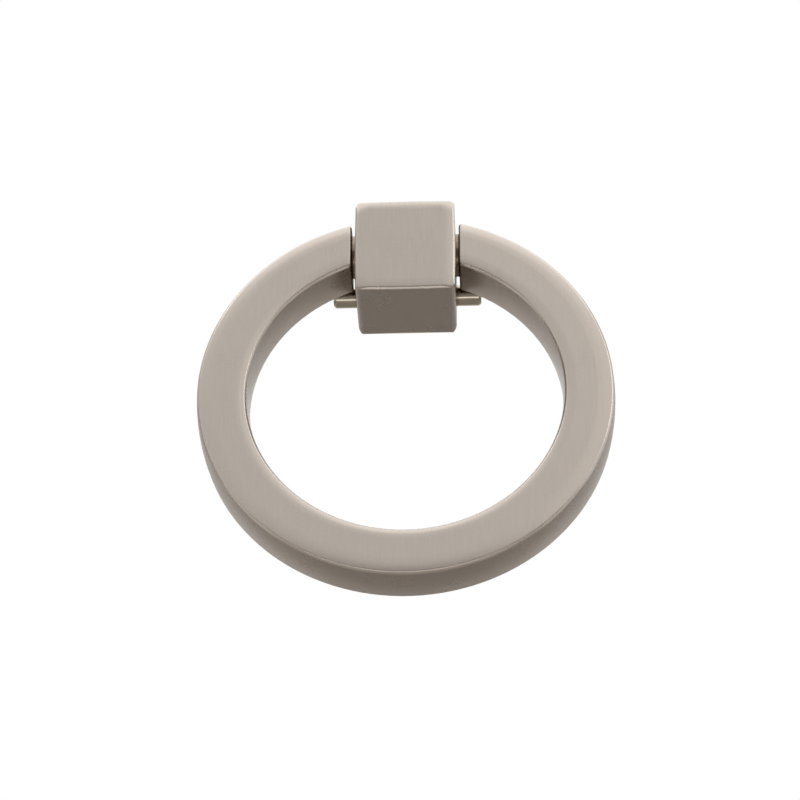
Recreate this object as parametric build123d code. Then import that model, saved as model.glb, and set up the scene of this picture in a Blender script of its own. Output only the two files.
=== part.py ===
"""Ring pull for a cabinet door or drawer, in millimetres.

The origin is the centre of the post's flat back, which sits on the cabinet front.
+X is to the right, +Z is up, and the pull stands out from the cabinet along -Y.
"""
from build123d import *
from math import hypot, radians, sqrt, tan
import os

# Post: a solid block whose sides swell very slightly
post_width = 13.3
post_height = 14.0
post_crown = 0.1               # swell of each side at its middle
post_corner_radius = 0.8       # edges that run from front to back
post_front_bevel = 0.38        # edges round the front face, taken before it rolls off
post_roll = 1.4                # width over which the front face rolls off to each edge
post_roll_drop = 0.19          # how far it has fallen away at the edge
post_upright_back_radius = 1.7
post_level_back_radius = 0.9

# Ring: a nearly square bar bent round, its axis along Y as it hangs
ring_outer_diameter = 54.0
ring_width = 6.7               # from inner rim to outer rim, both at their swell
ring_thickness = 6.8           # from front face to back face
ring_rim_crown = 0.2           # swell of each rim at its middle
ring_inner_roll = 1.5          # width over which a face rolls off to its inner edge
ring_outer_roll = 2.1          # the same on the outer side
ring_roll_drop = 0.28          # how far a face has fallen away at its edges
ring_edge_bevel = 0.25         # all four edges
ring_end_gap = 0.45            # between the side of the post and each end of the ring
ring_end_radius = 0.35         # edges round each cut end

# Stubs on the ring's ends, and the bores in the post that they turn in
stub_diameter = 5.7
stub_engagement = 3.0          # length inside the post
stub_radial_clearance = 0.05
stub_end_clearance = 0.3
ring_behind_front = 0.8        # from the post's front face back to the ring's front face
pivot_height = 0.75            # above the middle of the post

# Side pins, pressed into the post behind the ring's ends
pin_diameter = 2.8
pin_engagement = 3.0
pin_projection = 3.25          # length that stands out of the post
pin_chamfer = 0.3              # both ends
pin_hole_relief = 0.2          # empty end of each pin's hole
pin_below_pivot = 2.7
pin_swing_clearance = 0.05     # beyond the swing of the ring's corners, taken as sharp
wall_behind_pin = 0.45         # from a pin to the back of the post

# Hole in the back for a No. 8 mounting screw, at the size that is drilled for its thread
screw_hole_diameter = 3.45
screw_hole_depth = 8.0         # without the pointed end
drill_point_angle = 118.0

# Places that follow from the sizes above
side_x = post_width / 2
ring_outer_radius = ring_outer_diameter / 2
ring_mean_radius = ring_outer_radius - ring_width / 2
ring_end_x = side_x + ring_end_gap
stub_above_ring_centre = sqrt(ring_mean_radius**2 - side_x**2)
ring_centre_z = pivot_height - stub_above_ring_centre

# The upper corners of the ring's ends swing past the pins, which lie just clear of them
corner_above_pivot = sqrt(ring_outer_radius**2 - ring_end_x**2) - stub_above_ring_centre
corner_swing_radius = hypot(corner_above_pivot, ring_thickness / 2)
pivot_to_pin = corner_swing_radius + pin_swing_clearance + pin_diameter / 2
pin_behind_pivot = sqrt(pivot_to_pin**2 - pin_below_pivot**2)
pin_y = -wall_behind_pin - pin_diameter / 2
pin_z = pivot_height - pin_below_pivot
pivot_y = pin_y - pin_behind_pivot
post_depth = ring_behind_front + ring_thickness / 2 - pivot_y


def rod_along_x(diameter, end_a, end_b):
    """Round rod on the X axis between two places."""
    rod = Cylinder(diameter / 2, abs(end_b - end_a), rotation=(0, 90, 0))
    return Pos((end_a + end_b) / 2, 0, 0) * rod


def rolled_side(left, right, level, left_roll, right_roll, drop):
    """A straight side low in a sketch that curves up by the drop at both ends."""
    return [
        TangentArc((left + left_roll, level), (left, level + drop), tangent=(-1, 0)),
        Line((left + left_roll, level), (right - right_roll, level)),
        TangentArc((right - right_roll, level), (right, level + drop), tangent=(1, 0)),
    ]


def post_outline():
    """The post seen from the front: a rectangle with bulging sides and rounded corners."""
    x, z = side_x, post_height / 2
    corner_x, corner_z = x - post_crown, z - post_crown
    outline = make_face([
        ThreePointArc((-corner_x, -corner_z), (0, -z), (corner_x, -corner_z)),
        ThreePointArc((corner_x, -corner_z), (x, 0), (corner_x, corner_z)),
        ThreePointArc((corner_x, corner_z), (0, z), (-corner_x, corner_z)),
        ThreePointArc((-corner_x, corner_z), (-x, 0), (-corner_x, -corner_z)),
    ])
    return fillet(outline.vertices(), post_corner_radius)


def make_screw_hole():
    """Hole drilled from the back, with the drill's pointed end."""
    radius = screw_hole_diameter / 2
    point = radius / tan(radians(drill_point_angle / 2))
    half_section = Polyline([
        (0, 0),
        (radius, 0),
        (radius, -screw_hole_depth),
        (0, -screw_hole_depth - point),
    ], close=True)
    return revolve(make_face(half_section), Axis.Y, 360)


def make_soft_slab():
    """Slab wider than the post, its front edges so soft that the post meets only their start."""
    roll_radius = (post_roll**2 + post_roll_drop**2) / (2 * post_roll_drop)
    margin = roll_radius - post_roll
    outline = RectangleRounded(
        post_width + 2 * margin, post_height + 2 * margin, roll_radius + post_corner_radius)
    slab = extrude(Plane.XZ * outline, post_depth)
    return fillet(slab.faces().sort_by(Axis.Y)[0].edges(), roll_radius)


def make_soft_back(width, radius):
    """Upright bar of a given width and the post's depth, its two edges at the back rounded."""
    plan = Rectangle(width, post_depth)
    plan = fillet(plan.vertices().group_by(Axis.Y)[-1], radius)
    return Pos(0, -post_depth / 2, 0) * extrude(plan, post_height, both=True)


def make_post():
    """Block with a soft front and back, bored from both sides and from the back."""
    block = extrude(Plane.XZ * post_outline(), post_depth)
    block = chamfer(block.faces().sort_by(Axis.Y)[0].edges(), post_front_bevel)

    block &= make_soft_slab()
    block &= make_soft_back(post_width, post_upright_back_radius)
    block &= Rot(0, 90, 0) * make_soft_back(post_height, post_level_back_radius)

    bore_diameter = stub_diameter + 2 * stub_radial_clearance
    bore_end = side_x - stub_engagement - stub_end_clearance
    hole_end = side_x - pin_engagement - pin_hole_relief
    for way in (-1, 1):
        bore = rod_along_x(bore_diameter, way * bore_end, way * ring_end_x)
        block -= Pos(0, pivot_y, pivot_height) * bore
        hole = rod_along_x(pin_diameter, way * hole_end, way * ring_end_x)
        block -= Pos(0, pin_y, pin_z) * hole
    return block - make_screw_hole()


def ring_section():
    """Section of the ring: two faces that roll off to bevelled edges, and two swelling rims."""
    inner, outer = ring_outer_radius - ring_width, ring_outer_radius
    inner_edge, outer_edge = inner + ring_rim_crown, outer - ring_rim_crown
    face_y = ring_thickness / 2
    edge_y = face_y - ring_roll_drop
    front = rolled_side(
        inner_edge, outer_edge, -face_y, ring_inner_roll, ring_outer_roll, ring_roll_drop)
    back = [mirror(line, Plane.XZ) for line in front]
    rims = [
        ThreePointArc((inner_edge, -edge_y), (inner, 0), (inner_edge, edge_y)),
        ThreePointArc((outer_edge, -edge_y), (outer, 0), (outer_edge, edge_y)),
    ]
    bar = make_face([*front, *back, *rims])
    corners = bar.vertices().group_by(Axis.X)
    return chamfer(corners[0] + corners[-1], ring_edge_bevel)


def make_ring():
    """Ring cut off square on both sides of the post, with a stub on each end."""
    ring = revolve(ring_section(), Axis.Y, 360)
    post_space = Box(2 * ring_end_x, 2 * ring_thickness, ring_outer_diameter)
    ring -= Pos(0, 0, ring_outer_radius) * post_space
    cut_ends = ring.faces().filter_by(Axis.X)
    ring = fillet(cut_ends.edges(), ring_end_radius)

    for way in (-1, 1):
        tip = way * (side_x - stub_engagement)
        stub = rod_along_x(stub_diameter, tip, way * (ring_end_x + ring_end_radius))
        ring += Pos(0, 0, stub_above_ring_centre) * stub
    return Pos(0, pivot_y, ring_centre_z) * ring


def make_side_pin(way):
    """Pin in the left (-1) or right (1) side of the post, chamfered at both ends."""
    pin = rod_along_x(
        pin_diameter, way * (side_x - pin_engagement), way * (side_x + pin_projection))
    pin = chamfer(pin.edges().filter_by(GeomType.CIRCLE), pin_chamfer)
    return Pos(0, pin_y, pin_z) * pin


parts = {
    "post": make_post(),
    "ring": make_ring(),
    "side_pin_left": make_side_pin(-1),
    "side_pin_right": make_side_pin(1),
}

os.makedirs("parts", exist_ok=True)
for name, solid in parts.items():
    export_step(solid, f"parts/{name}.step")
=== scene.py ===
"""Looks, light and camera for the ring pull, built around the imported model.

Lengths are in metres. X is to the right, Z is up, and the pull stands out from the cabinet along -Y.
"""
from math import cos, pi, radians, sin

import bpy
from mathutils import Matrix, Vector

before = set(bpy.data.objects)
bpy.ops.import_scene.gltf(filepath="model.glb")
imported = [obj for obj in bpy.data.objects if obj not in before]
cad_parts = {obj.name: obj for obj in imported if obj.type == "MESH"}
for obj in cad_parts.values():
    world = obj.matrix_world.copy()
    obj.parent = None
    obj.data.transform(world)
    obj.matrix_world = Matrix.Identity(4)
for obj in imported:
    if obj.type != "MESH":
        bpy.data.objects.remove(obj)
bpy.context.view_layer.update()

MM = 0.001


# Nodes that the materials and the world share

def noise(tree, vector, scale, detail, roughness=0.5):
    """Soft noise from 0 to 1."""
    node = tree.nodes.new("ShaderNodeTexNoise")
    node.inputs["Scale"].default_value = scale
    node.inputs["Detail"].default_value = detail
    node.inputs["Roughness"].default_value = roughness
    tree.links.new(vector, node.inputs["Vector"])
    return node.outputs["Fac"]


def map_range(tree, value, source=(0.0, 1.0), target=(0.0, 1.0)):
    """Value taken from one range to another, and kept inside the second."""
    node = tree.nodes.new("ShaderNodeMapRange")
    for name, number in zip(("From Min", "From Max", "To Min", "To Max"), (*source, *target)):
        node.inputs[name].default_value = number
    tree.links.new(value, node.inputs["Value"])
    return node.outputs["Result"]


def mix_colour(tree, factor, first, second):
    """Mix of two colours, each given as numbers or as the output of a node."""
    node = tree.nodes.new("ShaderNodeMix")
    node.data_type = "RGBA"
    tree.links.new(factor, node.inputs["Factor"])
    for name, colour in (("A", first), ("B", second)):
        if isinstance(colour, tuple):
            node.inputs[name].default_value = (*colour, 1.0)
        else:
            tree.links.new(colour, node.inputs[name])
    return node.outputs["Result"]


def shade(colour, share):
    """Colour made darker or lighter."""
    return tuple(c * share for c in colour)


# Materials

LINE_CONTRAST = 0.07           # brush lines, lighter and darker than the colour
LINE_DETAIL, LINE_HARSHNESS = 4.0, 0.65
BLOTCH_SCALE = 220.0           # faint clouds, about 4 mm across
BLOTCH_DETAIL = 3.0
BLOTCH_ROUGHNESS = 0.05        # rougher and smoother than the metal's own roughness
EDGE_RADIUS = 0.25 * MM        # softening of sharp edges
EDGE_WEAR_AND_GLINT = 0.8                # share of the rubbed, painted-highlight colour on an edge
RUBBED_AND_GLINT = 1.7                   # how much brighter that colour is: partly rubbed metal, partly a painted highlight along the edges
WEAR_AND_GLINT_STARTS, WEAR_AND_GLINT_FULL = 0.995, 0.93     # cosine between the true surface and the softened one
CREVICE_REACH = 1.2 * MM       # surfaces this near to another one get painted shade
FULL_SHADE_OPENNESS, NO_SHADE_OPENNESS = 0.35, 0.75  # openness of a surface in full painted shade and of an unshaded one
PAINTED_GAP_SHADE = (0.45, 0.37, 0.30)   # the painted shade colour as a share of the unshaded one
NODE_SAMPLES = 8


def softened_normal(tree):
    """Direction of the surface with its sharp edges softened."""
    node = tree.nodes.new("ShaderNodeBevel")
    node.samples = NODE_SAMPLES
    node.inputs["Radius"].default_value = EDGE_RADIUS
    return node.outputs["Normal"]


def edge_wear_and_glint(tree, softened):
    """How much an edge is rubbed and lit by a painted highlight, told by the angle between the true
    surface and the softened one.
    """
    surface = tree.nodes.new("ShaderNodeNewGeometry")
    likeness = tree.nodes.new("ShaderNodeVectorMath")
    likeness.operation = "DOT_PRODUCT"
    tree.links.new(softened, likeness.inputs[0])
    tree.links.new(surface.outputs["Normal"], likeness.inputs[1])
    return map_range(tree, likeness.outputs["Value"], (WEAR_AND_GLINT_STARTS, WEAR_AND_GLINT_FULL), (0.0, EDGE_WEAR_AND_GLINT))


def gap_openness(tree):
    """1 on open surfaces, falling to 0 in narrow gaps, where the colour is darkened as painted shade.
    """
    node = tree.nodes.new("ShaderNodeAmbientOcclusion")
    node.samples = NODE_SAMPLES
    node.inputs["Distance"].default_value = CREVICE_REACH
    return map_range(tree, node.outputs["AO"], (FULL_SHADE_OPENNESS, NO_SHADE_OPENNESS))


def brush_lines(tree, coords, grain_scale):
    """Fine lines, drawn out along the direction in which the scale is small."""
    stretch = tree.nodes.new("ShaderNodeMapping")
    stretch.inputs["Scale"].default_value = grain_scale
    tree.links.new(coords, stretch.inputs["Vector"])
    return noise(tree, stretch.outputs["Vector"], 1.0, LINE_DETAIL, LINE_HARSHNESS)


def nickel(name, colour, roughness, grain_scale, brush_depth):
    """Satin nickel: fine brush lines, faint blotches, rubbed edges lightened further by a painted
    highlight, and painted shade in narrow gaps.
    """
    mat = bpy.data.materials.new(name)
    mat.use_nodes = True
    tree = mat.node_tree
    shader = tree.nodes["Principled BSDF"]
    shader.inputs["Metallic"].default_value = 1.0

    coords = tree.nodes.new("ShaderNodeTexCoord").outputs["Object"]
    lines = brush_lines(tree, coords, grain_scale)
    blotches = noise(tree, coords, BLOTCH_SCALE, BLOTCH_DETAIL)
    softened = softened_normal(tree)

    dark_line, light_line = shade(colour, 1.0 - LINE_CONTRAST), shade(colour, 1.0 + LINE_CONTRAST)
    tone = mix_colour(tree, lines, dark_line, light_line)
    # Rubbed edges, lightened further by a painted highlight along them.
    worn_and_glinting = mix_colour(tree, edge_wear_and_glint(tree, softened), tone, shade(colour, RUBBED_AND_GLINT))
    # Painted shade: the colour darkens in narrow gaps and where parts meet, where shade falls.
    gap_shade_colour = tuple(c * share for c, share in zip(colour, PAINTED_GAP_SHADE))
    with_gap_shade = mix_colour(tree, gap_openness(tree), gap_shade_colour, worn_and_glinting)
    tree.links.new(with_gap_shade, shader.inputs["Base Color"])

    smoothest, roughest = roughness - BLOTCH_ROUGHNESS, roughness + BLOTCH_ROUGHNESS
    tree.links.new(map_range(tree, blotches, target=(smoothest, roughest)), shader.inputs["Roughness"])

    relief = tree.nodes.new("ShaderNodeBump")
    relief.inputs["Distance"].default_value = brush_depth
    tree.links.new(lines, relief.inputs["Height"])
    tree.links.new(softened, relief.inputs["Normal"])
    tree.links.new(relief.outputs["Normal"], shader.inputs["Normal"])
    return mat


def dress(node, material):
    """Gives a CAD node its material in every slot."""
    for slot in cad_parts[node].material_slots:
        slot.material = material


RING_COLOUR = (0.420, 0.374, 0.331)
POST_COLOUR = (0.396, 0.355, 0.314)
PIN_COLOUR = (0.430, 0.384, 0.318)
SATIN, SMOOTH = 0.28, 0.16                    # roughness
ALONG_Z = (5000.0, 5000.0, 300.0)
ALONG_X = (900.0, 5000.0, 5000.0)
BRUSHED_DEPTH, POLISHED_DEPTH = 0.003 * MM, 0.002 * MM

dress("post", nickel("post_nickel", POST_COLOUR, SATIN, ALONG_Z, BRUSHED_DEPTH))
dress("ring", nickel("satin_nickel", RING_COLOUR, SATIN, ALONG_Z, BRUSHED_DEPTH))
pin_metal = nickel("pin_nickel", PIN_COLOUR, SMOOTH, ALONG_X, POLISHED_DEPTH)
dress("side_pin_left", pin_metal)
dress("side_pin_right", pin_metal)


# Lamps

def area_lamp(name, place, aim, width, height, radiance):
    """Rectangular soft lamp at a place, turned to a point, that no camera sees."""
    lamp = bpy.data.lights.new(name, "AREA")
    lamp.shape = "RECTANGLE"
    lamp.size = width
    lamp.size_y = height
    lamp.energy = radiance * pi * width * height
    obj = bpy.data.objects.new(name, lamp)
    obj.location = place
    obj.rotation_euler = (Vector(aim) - Vector(place)).to_track_quat("-Z", "Y").to_euler()
    obj.visible_camera = False
    bpy.context.scene.collection.objects.link(obj)


# These face the pull. Each is given by its name, place, width, height and radiance
MIDDLE = (0.0, -0.006, -0.021)
for name, place, width, height, radiance in (
    ("lamp_top", (0.0, -0.08, 0.45), 0.70, 0.60, 1.0),
    ("lamp_right", (0.30, -0.47, 0.24), 0.50, 0.50, 0.25),
    ("lamp_side", (0.62, -0.18, 0.33), 0.40, 0.40, 1.3),
    ("lamp_low", (0.0, -0.144, -0.242), 0.50, 0.10, 1.6),
    ("lamp_low_left", (-0.29, -0.12, -0.12), 0.18, 0.18, 0.7),
    ("lamp_low_right", (0.29, -0.12, -0.12), 0.18, 0.18, 0.7),
):
    area_lamp(name, place, MIDDLE, width, height, radiance)

# These face away from the pull and light what it reflects: the floor, the wall behind and the card
area_lamp("lamp_back", (0.0, 0.50, 0.08), (0.0, 0.90, -0.04), 1.6, 0.20, 2.3)
area_lamp("lamp_behind", (0.0, 0.70, 0.92), (0.0, 1.20, 0.50), 2.2, 0.28, 1.6)
area_lamp("lamp_left", (-0.45, -0.15, 0.60), (-0.9, -0.15, 0.15), 0.70, 0.20, 3.2)


# World: white where it is seen, directly or in metal and glass, and weaker as light on matt surfaces

SEEN_STRENGTH, FILL_STRENGTH = 1.0, 0.41

world = bpy.data.worlds.new("studio")
world.use_nodes = True
bpy.context.scene.world = world
world_tree = world.node_tree
path = world_tree.nodes.new("ShaderNodeLightPath")
seen = path.outputs["Is Camera Ray"]
for kind in ("Is Glossy Ray", "Is Transmission Ray"):
    either = world_tree.nodes.new("ShaderNodeMath")
    either.operation = "MAXIMUM"
    world_tree.links.new(seen, either.inputs[0])
    world_tree.links.new(path.outputs[kind], either.inputs[1])
    seen = either.outputs[0]
background = world_tree.nodes["Background"]
background.inputs["Color"].default_value = (1.0, 1.0, 1.0, 1.0)
strength = map_range(world_tree, seen, target=(FILL_STRENGTH, SEEN_STRENGTH))
world_tree.links.new(strength, background.inputs["Strength"])


# Floor, walls and card. The photograph's camera sees none of them, only their reflections in the metal

SIDE = 2.3                     # the floor and both walls reach this far to the left and the right
FLOOR_Z = -0.25
FRONT_Y, FRONT_TOP = -1.7, 0.13
BACK_Y, BACK_TOP = 1.2, 1.10
GAP_LEFT, GAP_RIGHT, GAP_BOTTOM = -0.34, 0.25, 0.40     # the camera looks through the back wall here
CARD_X, CARD_FRONT, CARD_BACK, CARD_TOP = -0.9, -0.5, 0.2, 0.65
FLOOR_COLOUR = (0.47, 0.44, 0.41)
CARD_COLOUR = (0.90, 0.88, 0.86)
MATT = 0.9                     # roughness


def matt(name, colour):
    """Plain matt paint."""
    mat = bpy.data.materials.new(name)
    mat.use_nodes = True
    shader = mat.node_tree.nodes["Principled BSDF"]
    shader.inputs["Base Color"].default_value = (*colour, 1.0)
    shader.inputs["Roughness"].default_value = MATT
    return mat


def screen(name, corners, material):
    """Flat piece of the surroundings."""
    mesh = bpy.data.meshes.new(name)
    mesh.from_pydata(corners, [], [range(len(corners))])
    mesh.materials.append(material)
    obj = bpy.data.objects.new(name, mesh)
    bpy.context.scene.collection.objects.link(obj)


def upright(y, outline):
    """Corners in a plane that faces front, from an outline of x and z."""
    return [(x, y, z) for x, z in outline]


floor_paint = matt("floor_matt", FLOOR_COLOUR)
card_paint = matt("card_matt", CARD_COLOUR)
screen("floor", [
    (-SIDE, FRONT_Y, FLOOR_Z), (SIDE, FRONT_Y, FLOOR_Z),
    (SIDE, BACK_Y, FLOOR_Z), (-SIDE, BACK_Y, FLOOR_Z),
], floor_paint)
screen("front_wall", upright(FRONT_Y, [
    (-SIDE, FLOOR_Z), (SIDE, FLOOR_Z), (SIDE, FRONT_TOP), (-SIDE, FRONT_TOP),
]), floor_paint)
screen("back_wall", upright(BACK_Y, [
    (-SIDE, FLOOR_Z), (SIDE, FLOOR_Z), (SIDE, BACK_TOP), (GAP_RIGHT, BACK_TOP),
    (GAP_RIGHT, GAP_BOTTOM), (GAP_LEFT, GAP_BOTTOM), (GAP_LEFT, BACK_TOP), (-SIDE, BACK_TOP),
]), card_paint)
screen("left_card", [
    (CARD_X, CARD_FRONT, FLOOR_Z), (CARD_X, CARD_BACK, FLOOR_Z),
    (CARD_X, CARD_BACK, CARD_TOP), (CARD_X, CARD_FRONT, CARD_TOP),
], card_paint)


# Camera, at the photograph's angle: from below and a little to the right

AZIMUTH, ELEVATION, ROLL = radians(2.258), radians(-31.539), radians(0.053)
DISTANCE = 0.38797
FOCAL_PX, IMAGE_PX, SENSOR_MM = 2986.35, 800.0, 36.0
AIM = Vector((-0.000846, -0.006, -0.020759))

away = Vector((sin(AZIMUTH) * cos(ELEVATION), -cos(AZIMUTH) * cos(ELEVATION), sin(ELEVATION)))
right = (-away).cross(Vector((0.0, 0.0, 1.0))).normalized()
up = right.cross(-away)
right_rolled = cos(ROLL) * right + sin(ROLL) * up
up_rolled = cos(ROLL) * up - sin(ROLL) * right

lens = bpy.data.cameras.new("camera")
lens.sensor_width = SENSOR_MM
lens.lens = FOCAL_PX / IMAGE_PX * SENSOR_MM
camera = bpy.data.objects.new("camera", lens)
turn = Matrix((right_rolled, up_rolled, away)).transposed()
camera.matrix_world = Matrix.Translation(AIM + DISTANCE * away) @ turn.to_4x4()
bpy.context.scene.collection.objects.link(camera)
bpy.context.scene.camera = camera

bpy.context.scene.view_settings.view_transform = "Standard"
